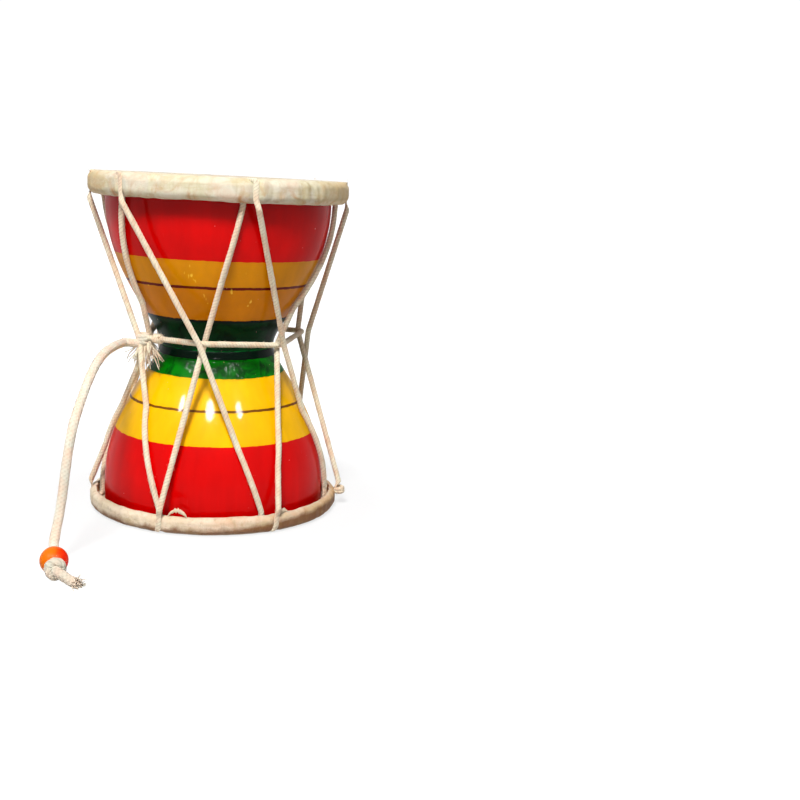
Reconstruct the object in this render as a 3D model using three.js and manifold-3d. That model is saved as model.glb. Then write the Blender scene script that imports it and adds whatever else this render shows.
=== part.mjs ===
// A damaru: a two-headed hourglass hand drum of turned wood, laced with cotton cord, with two bead
// strikers tied at its waist. Millimetres, +Z up, origin at the middle of the base on which it stands.
// An azimuth of 0 points along -Y, and it grows towards +X.
import * as THREE from "three";
import { mergeVertices } from "three/addons/utils/BufferGeometryUtils.js";
import Module from "manifold-3d";

const wasm = await Module();
wasm.setup();

// Overall and clearances
const drumHeight = 169.7;
const clearance = 0.3;
const roundSegments = 48;

// Wooden shell
const rimRadius = 56.5;
const rimWall = 6;
const rimRound = 1.5;
const waistRadius = 29;
const waistSoftness = 8.5;
const bellReach = 72;
const neckRadius = 15;
const neckSoftness = 14;
const cavityReach = 74;
const grooveOffsets = [-4.85, -0.45];
const grooveWidth = 1.3;
const grooveDepth = 0.5;
const bellStations = 10;
const cavityStations = 5;

// Heads: a skin lapped over a cane hoop at each end
const skinThickness = 0.9;
const throat = 3.9;
const topRollOverhang = 8.5;
const topRollHeight = 11.3;
const topRollRound = 4;
const bottomRollOverhang = 7;
const bottomRollHeight = 8.5;
const bottomRollRound = 2.8;

// Lacing and waist cord. The points on each roll are spaced by hand, as on the real drum, and the cord
// comes out of the throat inside a roll at a slant short of its point.
const lacingDiameter = 3;
const topPoints = [-96, -44.5, 14.5, 94, 128, 190];
const topSlants = [2, 6.5, 4, 10, 7, 5];
const bottomPoints = [-90, -24.5, 28.5, 86, 138, 203];
const bottomSlants = [4, 2, 5.5, 5, 6, 5];
const topLoopProud = 1.2;
const loopBend = 2;
const waistCordDiameter = 3;
const waistCordRises = [3.95, 5.65, 2.95, 5.15, 3.95, 4.15];
const waistStandOffs = [9.5, 15.5, 10.5, 17.5, 9.5, 12.5];
const outerRunLead = -1.2;
const innerRunLead = 0.8;
const lacingKnotRadius = 2.6;
const lacingKnotLength = 3.8;

// Knot in the waist cord, and its frayed ends
const waistKnotRadius = 3;
const waistKnotLength = 6;
const waistKnotOffset = 6.5;
const frayLength = 12;
const frayRootRadius = 1.2;
const frayTipRadius = 3.4;

// Strikers
const strikerDiameter = 4.2;
const tieReach = 7.2;
const tieTurn = 8.7;
const tieDrop = 2.3;
const tieKnotRadius = 2.9;
const strikerTurn = 53.2;
const beadDiameter = 12;
const beadFaceRadius = 3.3;
const beadGap = 0.4;
const endKnotRadius = 4.2;
const endKnotLength = 6;
const tailLength = 15;
const tailRadius = 1.8;
const tailTurn = 70;
const tailDrop = 4;

// Resting course of a striker's cord: distance out from the tie, height over the floor, and how far it
// lies to the left of its upright plane. It leaves the tie, arches out, falls and turns into the bead. It
// is drawn for the reach and the bead height named here, and stretched where those change.
const strikerReach = 96.3;
const beadRestHeight = 6.4;
const strikerCourse = [
  [0, 86.5, 0],
  [10, 86.8, 0],
  [20, 86.6, 0],
  [30, 85.6, 0],
  [39, 83.2, 0],
  [47.5, 79.4, 0],
  [55.5, 74.2, 0],
  [63.5, 67.4, 0.2],
  [70.2, 60, 0.6],
  [73.8, 51.5, 1.2],
  [75.9, 41.5, 2.1],
  [77.2, 31, 3],
  [79.2, 22, 3.8],
  [82.3, 15.2, 4.2],
  [86.3, 10.6, 3.8],
  [96.3, 6.4, 0],
];
const strikerElbows = [4, 8, 10, 13];
const beadTilt = -7;
const beadTurn = 24;

const topZ = drumHeight;
const middleZ = drumHeight / 2;
const grooveHeights = grooveOffsets.map((offset) => middleZ + offset);
const waistCordHeights = waistCordRises.map((rise) => middleZ + rise);
const lacingRadius = lacingDiameter / 2;
const waistCordHalf = waistCordDiameter / 2;
const strikerRadius = strikerDiameter / 2;
const throatRadius = rimRadius + throat;
const throatMiddle = rimRadius + throat / 2;
const pointCount = topPoints.length;

const rad = THREE.MathUtils.degToRad;

// Places on the drum
function around(azimuth, radius, z) {
  const angle = rad(azimuth);
  return new THREE.Vector3(radius * Math.sin(angle), -radius * Math.cos(angle), z);
}

function bell(distance, softness, reach) {
  const span = Math.hypot(reach, softness) - softness;
  const share = Math.min(1, (Math.hypot(distance, softness) - softness) / span);
  return 1 - (1 - share) ** 2;
}

function shellRadius(z) {
  return waistRadius + (rimRadius - waistRadius) * bell(z - middleZ, waistSoftness, bellReach);
}

function cavityRadius(z) {
  const mouth = rimRadius - rimWall;
  return neckRadius + (mouth - neckRadius) * bell(z - middleZ, neckSoftness, cavityReach);
}

const waistCordRadii = waistCordHeights.map((z, i) => shellRadius(z) + waistStandOffs[i]);

// Solids
function closed(geometry) {
  const bare = geometry.clone();
  bare.deleteAttribute("normal");
  bare.deleteAttribute("uv");
  return mergeVertices(bare, 1e-4);
}

function toSolid(geometry) {
  const merged = closed(geometry);
  return new wasm.Manifold(
    new wasm.Mesh({
      numProp: 3,
      vertProperties: new Float32Array(merged.attributes.position.array),
      triVerts: new Uint32Array(merged.index.array),
    }),
  );
}

function toGeometry(solid) {
  const mesh = solid.getMesh();
  const geometry = new THREE.BufferGeometry();
  geometry.setAttribute("position", new THREE.BufferAttribute(new Float32Array(mesh.vertProperties), 3));
  geometry.setIndex(new THREE.BufferAttribute(new Uint32Array(mesh.triVerts), 1));
  geometry.computeVertexNormals();
  return geometry;
}

function cut(geometry, cutters) {
  let solid = toSolid(geometry);
  for (const cutter of cutters) {
    solid = solid.subtract(toSolid(cutter));
  }
  return toGeometry(solid);
}

function arc(cx, cy, radius, fromDeg, toDeg, steps) {
  const points = [];
  for (let i = 0; i <= steps; i++) {
    const angle = rad(fromDeg + ((toDeg - fromDeg) * i) / steps);
    points.push([cx + radius * Math.cos(angle), cy + radius * Math.sin(angle)]);
  }
  return points;
}

function turned(profile, segments = roundSegments) {
  const outline = profile.map(([r, z]) => new THREE.Vector2(Math.max(r, 0), z));
  let area = 0;
  for (let i = 0; i < outline.length; i++) {
    const a = outline[i];
    const b = outline[(i + 1) % outline.length];
    area += a.x * b.y - b.x * a.y;
  }
  if (area < 0) {
    outline.reverse();
  }
  outline.push(outline[0].clone());
  const lathe = new THREE.LatheGeometry(outline, segments);
  lathe.rotateX(Math.PI / 2);
  return lathe;
}

// A round tube along a line of points, with flat or domed ends. Rings are mitred at each point.
function tube(points, radius, { sides = 8, startDome = false, endDome = false } = {}) {
  const rings = [];
  const directions = points.map((point, i) => {
    const before = i > 0 ? point.clone().sub(points[i - 1]).normalize() : null;
    const after = i < points.length - 1 ? points[i + 1].clone().sub(point).normalize() : null;
    return (before ?? new THREE.Vector3()).clone().add(after ?? new THREE.Vector3()).normalize();
  });
  const side = new THREE.Vector3(0, 0, 1).cross(directions[0]);
  if (side.lengthSq() < 0.01) {
    side.set(1, 0, 0).cross(directions[0]);
  }
  side.normalize();
  points.forEach((point, i) => {
    side.addScaledVector(directions[i], -side.dot(directions[i])).normalize();
    const other = directions[i].clone().cross(side);
    rings.push({ point, side: side.clone(), other, direction: directions[i], radius });
  });
  const domeTurn = Math.PI / 4;
  if (startDome) {
    const first = rings[0];
    const back = first.point.clone().addScaledVector(first.direction, -radius * Math.sin(domeTurn));
    rings.unshift({ ...first, point: back, radius: radius * Math.cos(domeTurn) });
  }
  if (endDome) {
    const last = rings[rings.length - 1];
    const ahead = last.point.clone().addScaledVector(last.direction, radius * Math.sin(domeTurn));
    rings.push({ ...last, point: ahead, radius: radius * Math.cos(domeTurn) });
  }
  const positions = [];
  for (const ring of rings) {
    for (let s = 0; s < sides; s++) {
      const angle = (2 * Math.PI * (s + 0.5)) / sides;
      const vertex = ring.point.clone();
      vertex.addScaledVector(ring.side, ring.radius * Math.cos(angle));
      vertex.addScaledVector(ring.other, ring.radius * Math.sin(angle));
      positions.push(vertex.x, vertex.y, vertex.z);
    }
  }
  const first = points[0].clone();
  const last = points[points.length - 1].clone();
  if (startDome) {
    first.addScaledVector(directions[0], -radius);
  }
  if (endDome) {
    last.addScaledVector(directions[points.length - 1], radius);
  }
  const startCentre = rings.length * sides;
  positions.push(first.x, first.y, first.z, last.x, last.y, last.z);
  const faces = [];
  for (let i = 0; i < rings.length - 1; i++) {
    for (let s = 0; s < sides; s++) {
      const a = i * sides + s;
      const b = i * sides + ((s + 1) % sides);
      faces.push(a, b, b + sides, a, b + sides, a + sides);
    }
  }
  for (let s = 0; s < sides; s++) {
    const next = (s + 1) % sides;
    const lastRing = (rings.length - 1) * sides;
    faces.push(startCentre, next, s);
    faces.push(startCentre + 1, lastRing + s, lastRing + next);
  }
  const geometry = new THREE.BufferGeometry();
  geometry.setAttribute("position", new THREE.Float32BufferAttribute(positions, 3));
  geometry.setIndex(faces);
  geometry.computeVertexNormals();
  return geometry;
}

// A turned piece laid along a direction, with its profile's z = 0 at a point
function laidAlong(geometry, point, direction) {
  const turn = new THREE.Quaternion().setFromUnitVectors(new THREE.Vector3(0, 0, 1), direction);
  return geometry.clone().applyQuaternion(turn).translate(point.x, point.y, point.z);
}

// A barrel knot: a few rounded wraps side by side
function barrelKnot(radius, length, wraps, segments = 12) {
  const wrapDepth = radius * 0.16;
  const face = radius * 0.62;
  const profile = [[0, 0], [face, 0]];
  for (let i = 0; i < wraps; i++) {
    const start = (length * i) / wraps;
    const step = length / wraps;
    profile.push([radius, start + step * 0.3], [radius, start + step * 0.7]);
    if (i < wraps - 1) {
      profile.push([radius - wrapDepth, start + step]);
    }
  }
  profile.push([face, length], [0, length]);
  return turned(profile, segments);
}

// The two ends of the drum. Depth is measured from the end's face into the drum.
const topEnd = {
  name: "top",
  z: (depth) => topZ - depth,
  radius: rimRadius + topRollOverhang,
  height: topRollHeight,
  round: topRollRound,
  loopDepth: lacingRadius - topLoopProud,
  points: topPoints,
  slants: topSlants,
};
const bottomEnd = {
  name: "bottom",
  z: (depth) => depth,
  radius: rimRadius + bottomRollOverhang,
  height: bottomRollHeight,
  round: bottomRollRound,
  loopDepth: lacingRadius + clearance,
  points: bottomPoints,
  slants: bottomSlants,
};

function pointAzimuth(end, index) {
  const turns = Math.floor(index / pointCount);
  return end.points[index - turns * pointCount] + 360 * turns;
}

function throatAzimuth(end, index) {
  return pointAzimuth(end, index) - end.slants[index % pointCount];
}

// Two runs cross between each two points: the one from the top roll's face to the bottom throat passes
// outside the waist cord, and the one from the bottom roll's face to the top throat passes inside it.
function crossingAzimuth(index) {
  const outer = pointAzimuth(topEnd, index) + throatAzimuth(bottomEnd, index + 1);
  const inner = pointAzimuth(bottomEnd, index) + throatAzimuth(topEnd, index + 1);
  return (outer + inner) / 4;
}

const outerSpacing = lacingRadius + 2.5 * clearance + waistCordHalf;
const innerSpacing = lacingRadius + 5 * clearance + waistCordHalf;

// A place at a crossing, by its lead in azimuth and its distance outside the waist cord
function atCrossing(index, lead, outside) {
  const i = index % pointCount;
  return around(crossingAzimuth(index) + lead, waistCordRadii[i] + outside, waistCordHeights[i]);
}

function outerCrossing(index) {
  return atCrossing(index, outerRunLead, outerSpacing);
}

function innerCrossing(index) {
  return atCrossing(index, innerRunLead, -innerSpacing);
}

// The cord's turn over a roll, from the throat inside it to the roll's outer face, at a slant
function hoopTurn(end, index, outside, release) {
  const bottomBend = end.loopDepth + loopBend;
  const profile = [
    [throatMiddle, end.height + 3 * clearance],
    ...arc(throatMiddle + loopBend, bottomBend, loopBend, 180, 270, 3),
    ...arc(outside - loopBend, bottomBend, loopBend, 270, 360, 3),
  ];
  profile.push([outside, release]);
  const inside = throatAzimuth(end, index);
  const turn = pointAzimuth(end, index) - inside;
  return profile.map(([r, depth]) => {
    const across = (r - throatMiddle) / (rollOutside(end) - throatMiddle);
    return around(inside + turn * Math.min(1, across), r, end.z(depth));
  });
}

function rollOutside(end) {
  return end.radius + clearance + lacingRadius;
}

// A taut stretch between two places, lifted where the shell's bell would be in its way
function stretch(from, to) {
  const steps = 9;
  const margin = 0.6 * clearance;
  const lifted = [];
  for (let i = 1; i < steps; i++) {
    const point = from.clone().lerp(to, i / steps);
    const slope = shellRadius(point.z + 0.5) - shellRadius(point.z - 0.5);
    const least = shellRadius(point.z) + (lacingRadius + clearance + margin) * Math.hypot(1, slope);
    const radius = Math.hypot(point.x, point.y);
    if (radius < least) {
      point.x *= least / radius;
      point.y *= least / radius;
      lifted.push(point);
    }
  }
  return lifted;
}

// One lacing circuit. It starts at its knot on the bottom roll, and takes every second point.
function lacingCircuit(startIndex) {
  const release = (end) => end.height - lacingRadius - clearance;
  const knotOutside = bottomEnd.radius + clearance + lacingKnotRadius;
  const intoKnot = bottomEnd.loopDepth + loopBend + 3 * clearance;
  const knotEnd = intoKnot + clearance;
  const knotTop = knotEnd + lacingKnotLength;
  const startAzimuth = pointAzimuth(bottomEnd, startIndex);
  const course = [clearance, 5 * clearance].map((beyond) =>
    around(startAzimuth, knotOutside, bottomEnd.z(knotTop + beyond)),
  );
  for (let i = startIndex; i < startIndex + pointCount; i += 2) {
    const up = innerCrossing(i);
    const over = hoopTurn(topEnd, i + 1, rollOutside(topEnd), release(topEnd));
    course.push(...stretch(course[course.length - 1], up), up, ...stretch(up, over[0]), ...over);
    const down = outerCrossing(i + 1);
    const last = i + 2 >= startIndex + pointCount;
    const outside = last ? knotOutside : rollOutside(bottomEnd);
    const under = hoopTurn(bottomEnd, i + 2, outside, last ? intoKnot : release(bottomEnd));
    course.push(...stretch(over[over.length - 1], down), down, ...stretch(down, under[0]), ...under);
  }
  const knotPlace = around(startAzimuth, knotOutside, bottomEnd.z(knotEnd));
  return { course, knotPlace };
}

// Skins and hoops
function skinProfile(end) {
  const { radius, height, round } = end;
  const inside = round - skinThickness;
  return [
    [0, 0],
    ...arc(radius - round, round, round, 270, 360, 3),
    ...arc(radius - round, height - round, round, 0, 90, 3),
    [throatRadius, height],
    [throatRadius, height - skinThickness],
    ...arc(radius - round, height - round, inside, 90, 0, 2),
    ...arc(radius - round, round, inside, 360, 270, 2),
    [0, skinThickness],
  ];
}

function caneProfile(end) {
  const lap = skinThickness + clearance;
  const round = end.round - lap;
  const outer = end.radius - lap;
  return [
    [throatRadius, lap],
    ...arc(outer - round, lap + round, round, 270, 360, 2),
    ...arc(outer - round, end.height - lap - round, round, 0, 90, 2),
    [throatRadius, end.height - lap],
  ];
}

function atEnd(profile, end) {
  return profile.map(([r, depth]) => [r, end.z(depth)]);
}

function bites(end) {
  return end.points.map((azimuth, i) =>
    tube(hoopTurn(end, i, rollOutside(end), end.height), lacingRadius + 1.4 * clearance),
  );
}

// The shell's profile: bell, waist and bell outside, two cavities and a neck inside
function shellProfile() {
  const endGap = skinThickness + clearance;
  const low = bottomEnd.z(endGap);
  const high = topEnd.z(endGap);
  const outer = [];
  for (let i = bellStations; i >= 1; i--) {
    outer.push(middleZ - bellReach * (i / bellStations) ** 1.2);
  }
  for (let i = 1; i <= bellStations; i++) {
    outer.push(middleZ + bellReach * (i / bellStations) ** 1.2);
  }
  const nearGroove = (z) => grooveHeights.some((g) => Math.abs(z - g) < grooveWidth);
  const heights = outer.filter((z) => !nearGroove(z)).map((z) => [shellRadius(z), z]);
  for (const g of grooveHeights) {
    for (const [offset, depth] of [[-0.5, 0], [0, grooveDepth], [0.5, 0]]) {
      const z = g + offset * grooveWidth;
      heights.push([shellRadius(z) - depth, z]);
    }
  }
  heights.sort((a, b) => a[1] - b[1]);
  const inner = [];
  for (let i = cavityStations; i >= -cavityStations; i--) {
    const z = middleZ + Math.sign(i) * cavityReach * (Math.abs(i) / cavityStations) ** 1.1;
    inner.push([cavityRadius(z), z]);
  }
  const mouth = rimRadius - rimWall;
  return [
    [mouth, low],
    [rimRadius - rimRound, low],
    [rimRadius, low + rimRound],
    ...heights,
    [rimRadius, high - rimRound],
    [rimRadius - rimRound, high],
    [mouth, high],
    ...inner,
  ];
}

// Waist cord: straight from crossing to crossing, with both ends in its knot
const firstCorner = atCrossing(0, 0, 0);
const secondCorner = atCrossing(1, 0, 0);
const firstEdge = secondCorner.clone().sub(firstCorner).normalize();

function waistCourse() {
  const cornerCut = waistCordHalf;
  const knotFar = waistKnotOffset + waistKnotLength + clearance;
  const course = [firstCorner.clone().addScaledVector(firstEdge, knotFar)];
  for (let i = 1; i <= pointCount; i++) {
    const corner = atCrossing(i, 0, 0);
    const before = atCrossing(i - 1, 0, 0);
    const after = atCrossing(i + 1, 0, 0);
    const into = before.sub(corner).normalize();
    const out = after.sub(corner).normalize();
    course.push(corner.clone().addScaledVector(into, cornerCut));
    course.push(corner.clone().addScaledVector(out, cornerCut));
  }
  course.push(firstCorner.clone().addScaledVector(firstEdge, waistKnotOffset - clearance));
  return course;
}

// Strikers: the resting course in space, from the tie's pivot to the bead's middle
function strikerFrame(crossing) {
  const azimuth = crossingAzimuth(crossing);
  const run = outerCrossing(crossing);
  const tieDirection = around(azimuth + tieTurn, 1, 0);
  const pivot = run.clone().addScaledVector(tieDirection, tieReach);
  pivot.z -= tieDrop;
  tieDirection.copy(pivot).sub(run).normalize();
  const out = around(azimuth + strikerTurn, 1, 0);
  const left = around(azimuth + strikerTurn - 90, 1, 0);
  const [drawnReach, drawnFoot] = strikerCourse[strikerCourse.length - 1];
  const drawnTop = strikerCourse[0][1];
  const rise = (pivot.z - beadRestHeight) / (drawnTop - drawnFoot);
  const stretched = strikerReach / drawnReach;
  const points = strikerCourse.map(([reach, z, aside]) => {
    const point = pivot.clone().addScaledVector(out, reach * stretched);
    point.addScaledVector(left, aside * stretched);
    point.z = beadRestHeight + (z - drawnFoot) * rise;
    return point;
  });
  const curve = new THREE.CatmullRomCurve3(points, false, "centripetal");
  const tilt = rad(beadTilt);
  const axis = around(azimuth + strikerTurn + beadTurn, Math.cos(tilt), 0);
  axis.z = Math.sin(tilt);
  const tail = around(azimuth + strikerTurn + tailTurn, Math.cos(rad(tailDrop)), -Math.sin(rad(tailDrop)));
  return { run, tieDirection, pivot, points, curve, axis, tail };
}

// Points of the resting curve between two of its course points, stopping short of the second
function strikerStretch(curve, from, to, short) {
  const last = strikerCourse.length - 1;
  const steps = Math.max(2, (to - from) * 2);
  const points = [];
  for (let i = 0; i <= steps; i++) {
    points.push(curve.getPoint((from + ((to - from) * i) / steps) / last));
  }
  let left = short;
  while (left > 0) {
    const end = points[points.length - 1];
    const before = points[points.length - 2];
    const step = end.distanceTo(before);
    if (step > left + 0.5) {
      end.lerp(before, left / step);
      left = 0;
    } else {
      points.pop();
      left -= step;
      if (left <= 0) {
        points[points.length - 1].lerp(end, -left / step);
      }
    }
  }
  return points;
}

// Materials
const paint = (color, roughness) => new THREE.MeshStandardMaterial({ color, roughness, metalness: 0 });
const lacquer = paint(0xd80404, 0.25);
const skinMaterial = paint(0xe6dcbc, 0.7);
const cane = paint(0xb98f56, 0.6);
const cotton = paint(0xeee0c4, 0.9);
const rope = paint(0xf0e2c8, 0.9);
const orangeBead = paint(0xe6500f, 0.3);
const redBead = paint(0xc81414, 0.3);

const drum = new THREE.Group();

function add(name, geometry, material) {
  const mesh = new THREE.Mesh(geometry, material);
  mesh.name = name;
  drum.add(mesh);
}

add("shell", turned(shellProfile()), lacquer);
for (const end of [topEnd, bottomEnd]) {
  add(`${end.name}_hoop`, cut(turned(atEnd(caneProfile(end), end)), bites(end)), cane);
  add(`${end.name}_skin`, cut(turned(atEnd(skinProfile(end), end)), bites(end)), skinMaterial);
}

const upright = new THREE.Vector3(0, 0, 1);
for (const [name, startIndex] of [["a", 3], ["b", 4]]) {
  const { course, knotPlace } = lacingCircuit(startIndex);
  add(`lacing_cord_${name}`, tube(course, lacingRadius), cotton);
  const knot = barrelKnot(lacingKnotRadius, lacingKnotLength, 2);
  add(`lacing_knot_${name}`, laidAlong(knot, knotPlace, upright), cotton);
}

add("waist_cord", tube(waistCourse(), waistCordHalf), cotton);
const waistKnotPlace = firstCorner.clone().addScaledVector(firstEdge, waistKnotOffset);
const waistKnot = barrelKnot(waistKnotRadius, waistKnotLength, 2);
add("waist_knot", laidAlong(waistKnot, waistKnotPlace, firstEdge), cotton);
const frayPlace = waistKnotPlace.clone().addScaledVector(firstEdge, waistKnotLength / 2);
frayPlace.z -= waistKnotRadius + 2 * clearance;
const fray = turned([[0, 0], [frayRootRadius, 0], [frayTipRadius, frayLength], [0, frayLength]], 10);
const frayDirection = around(crossingAzimuth(0) + 40, 0.35, -1).normalize();
add("waist_cord_fray", laidAlong(fray, frayPlace, frayDirection), cotton);

// A bead bored for the cord, with flats round its bore
function beadGeometry() {
  const radius = beadDiameter / 2;
  const half = Math.sqrt(radius ** 2 - beadFaceRadius ** 2);
  const bore = strikerRadius + beadGap;
  const edge = THREE.MathUtils.radToDeg(Math.asin(half / radius));
  return turned([[bore, -half], ...arc(0, 0, radius, -edge, edge, 8), [bore, half]], 16);
}

const linkNames = ["root", "arm", "fold", "fall", "toe"];

function addStriker(side, crossing, beadMaterial) {
  const { run, tieDirection, pivot, points, curve, axis, tail } = strikerFrame(crossing);
  const tieStart = lacingRadius + 3.8 * clearance;
  const tieLength = run.distanceTo(pivot) - tieStart - strikerRadius - clearance;
  const tiePlace = run.clone().addScaledVector(tieDirection, tieStart);
  add(`${side}_tie_knot`, laidAlong(barrelKnot(tieKnotRadius, tieLength, 1), tiePlace, tieDirection), rope);
  const ends = [0, ...strikerElbows, strikerCourse.length - 1];
  linkNames.forEach((name, i) => {
    const toe = i === linkNames.length - 1;
    const short = toe ? 0 : strikerDiameter + clearance;
    const course = strikerStretch(curve, ends[i], ends[i + 1], short);
    if (toe) {
      const half = Math.sqrt((beadDiameter / 2) ** 2 - beadFaceRadius ** 2);
      const bead = course.pop();
      while (course[course.length - 1].distanceTo(bead) < beadDiameter * 0.7) {
        course.pop();
      }
      for (const place of [-half - 4 * clearance, -half, half]) {
        course.push(bead.clone().addScaledVector(axis, place));
      }
    }
    add(`${side}_cord_${name}`, tube(course, strikerRadius, { startDome: true, endDome: !toe }), rope);
  });
  const middle = points[points.length - 1];
  add(`${side}_bead`, laidAlong(beadGeometry(), middle, axis), beadMaterial);
  const half = Math.sqrt((beadDiameter / 2) ** 2 - beadFaceRadius ** 2);
  const knotPlace = middle.clone().addScaledVector(axis, half + clearance);
  add(`${side}_end_knot`, laidAlong(barrelKnot(endKnotRadius, endKnotLength, 2), knotPlace, axis), rope);
  const tailCourse = [knotPlace.clone().addScaledVector(axis, endKnotLength + clearance)];
  const halfway = axis.clone().add(tail).normalize();
  for (const [direction, share] of [[axis, 0.08], [halfway, 0.13], [tail, 0.79]]) {
    tailCourse.push(tailCourse[tailCourse.length - 1].clone().addScaledVector(direction, share * tailLength));
  }
  add(`${side}_frayed_tail`, tube(tailCourse, tailRadius), rope);
}

addStriker("left", 0, orangeBead);
addStriker("back", 4, redBead);

export default drum;
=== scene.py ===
"""Looks for a damaru, a two-headed hourglass hand drum: lacquered turned wood, raw skin heads lapped
over cane hoops, cotton lacing, and two bead strikers on braided cords.

Lengths are written in millimetres and turned into metres where a mesh is made. An azimuth of 0 points
along -Y, towards the camera, and it grows towards +X.
"""

import math
from dataclasses import dataclass

import bpy
import numpy as np
from mathutils import Matrix, Vector


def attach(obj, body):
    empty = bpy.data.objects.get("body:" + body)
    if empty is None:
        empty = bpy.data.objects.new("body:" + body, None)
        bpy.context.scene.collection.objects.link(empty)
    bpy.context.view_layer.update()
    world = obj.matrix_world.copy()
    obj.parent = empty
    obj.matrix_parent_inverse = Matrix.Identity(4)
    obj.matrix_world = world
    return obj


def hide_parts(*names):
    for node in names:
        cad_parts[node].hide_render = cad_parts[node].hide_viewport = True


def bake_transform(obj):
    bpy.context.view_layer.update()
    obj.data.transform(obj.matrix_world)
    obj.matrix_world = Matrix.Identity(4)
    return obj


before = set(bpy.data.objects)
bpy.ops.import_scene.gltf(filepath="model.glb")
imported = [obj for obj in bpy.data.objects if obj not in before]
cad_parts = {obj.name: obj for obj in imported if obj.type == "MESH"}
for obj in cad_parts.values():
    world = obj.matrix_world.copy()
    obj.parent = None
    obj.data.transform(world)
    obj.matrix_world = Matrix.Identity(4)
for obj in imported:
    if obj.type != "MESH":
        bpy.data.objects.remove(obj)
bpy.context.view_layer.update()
scene = bpy.context.scene
scene.view_settings.view_transform = "Standard"

MM = 0.001

# The drum's sizes, as in the CAD part
HEIGHT = 169.7
MIDDLE = HEIGHT / 2
CLEARANCE = 0.3
RIM_RADIUS = 56.5
RIM_WALL = 6
RIM_ROUND = 1.5
WAIST_RADIUS = 29
WAIST_SOFTNESS = 8.5
BELL_REACH = 72
NECK_RADIUS = 15
NECK_SOFTNESS = 14
CAVITY_REACH = 74
GROOVES = (80.0, 84.4)
SKIN = 0.9
THROAT = 3.9
CORD_RADIUS = 1.5
CORD_LOOK_RADIUS = 0.95 * CORD_RADIUS
LOOP_BEND = 2
TOP_POINTS = (-96, -44.5, 14.5, 94, 128, 190)
TOP_SLANTS = (2, 6.5, 4, 10, 7, 5)
BOTTOM_POINTS = (-90, -24.5, 28.5, 86, 138, 203)
BOTTOM_SLANTS = (4, 2, 5.5, 5, 6, 5)
WAIST_RISES = (3.95, 5.65, 2.95, 5.15, 3.95, 4.15)
WAIST_STAND_OFFS = (9.5, 15.5, 10.5, 17.5, 9.5, 12.5)
OUTER_LEAD = -1.2
INNER_LEAD = 0.8
CAD_OUTER_SPACING = 2 * CORD_RADIUS + 2.5 * CLEARANCE
CROSSING_SPACING = 2.7
LACING_KNOT_RADIUS = 2.6
LACING_KNOT_LENGTH = 3.8
WAIST_KNOT_OFFSET = 6.5
WAIST_KNOT_LENGTH = 6
STRIKER_RADIUS = 2.1
TIE_REACH = 7.2
TIE_TURN = 8.7
TIE_DROP = 2.3
STRIKER_TURN = 53.2
BEAD_RADIUS = 6
BEAD_FACE = 3.3
BEAD_TILT = -7
BEAD_TURN = 24
END_KNOT_LENGTH = 6
TAIL_TURN = 70
TAIL_DROP = 4
STRIKER_COURSE = (
    (0, 86.5, 0),
    (10, 86.8, 0),
    (20, 86.6, 0),
    (30, 85.6, 0),
    (39, 83.2, 0),
    (47.5, 79.4, 0),
    (55.5, 74.2, 0),
    (63.5, 67.4, 0.2),
    (70.2, 60, 0.6),
    (73.8, 51.5, 1.2),
    (75.9, 41.5, 2.1),
    (77.2, 31, 3),
    (79.2, 22, 3.8),
    (82.3, 15.2, 4.2),
    (86.3, 10.6, 3.8),
    (96.3, 6.4, 0),
)
ELBOWS = (4, 8, 10, 13)

THROAT_MIDDLE = RIM_RADIUS + THROAT / 2
THROAT_RADIUS = RIM_RADIUS + THROAT


@dataclass
class End:
    """One end of the drum. Depth is measured from its face into the drum."""

    name: str
    up: bool
    radius: float
    height: float
    roundness: float
    loop_depth: float
    points: tuple
    slants: tuple

    @property
    def outside(self):
        return self.radius + CLEARANCE + CORD_RADIUS

    def z(self, depth):
        return HEIGHT - depth if self.up else depth

    def azimuth(self, index):
        turns = index // 6
        return self.points[index - turns * 6] + 360 * turns

    def throat_azimuth(self, index):
        return self.azimuth(index) - self.slants[index % 6]


TOP = End("top", True, 65, 11.3, 4, CORD_RADIUS - 1.2, TOP_POINTS, TOP_SLANTS)
BOTTOM = End("bottom", False, 63.5, 8.5, 2.8, CORD_RADIUS + CLEARANCE, BOTTOM_POINTS, BOTTOM_SLANTS)


def around(azimuth, radius, z):
    angle = math.radians(azimuth)
    return np.array([radius * math.sin(angle), -radius * math.cos(angle), z], float)


def unit(v):
    return v / np.linalg.norm(v)


def bell(distance, softness, reach):
    span = math.hypot(reach, softness) - softness
    share = min(1, (math.hypot(distance, softness) - softness) / span)
    return 1 - (1 - share) ** 2


def shell_radius(z):
    return WAIST_RADIUS + (RIM_RADIUS - WAIST_RADIUS) * bell(z - MIDDLE, WAIST_SOFTNESS, BELL_REACH)


def cavity_radius(z):
    mouth = RIM_RADIUS - RIM_WALL
    return NECK_RADIUS + (mouth - NECK_RADIUS) * bell(z - MIDDLE, NECK_SOFTNESS, CAVITY_REACH)


def crossing_azimuth(index):
    outer = TOP.azimuth(index) + BOTTOM.throat_azimuth(index + 1)
    inner = BOTTOM.azimuth(index) + TOP.throat_azimuth(index + 1)
    return (outer + inner) / 4


def at_crossing(index, lead, outside):
    """A place at a crossing, by its lead in azimuth and its distance outside the waist cord."""
    z = MIDDLE + WAIST_RISES[index % 6]
    radius = shell_radius(z) + WAIST_STAND_OFFS[index % 6]
    return around(crossing_azimuth(index) + lead, radius + outside, z)


# Courses of the cords, in millimetres


def arc(cx, cy, radius, start, end, steps):
    angles = np.radians(np.linspace(start, end, steps + 1))
    return [(cx + radius * math.cos(a), cy + radius * math.sin(a)) for a in angles]


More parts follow.
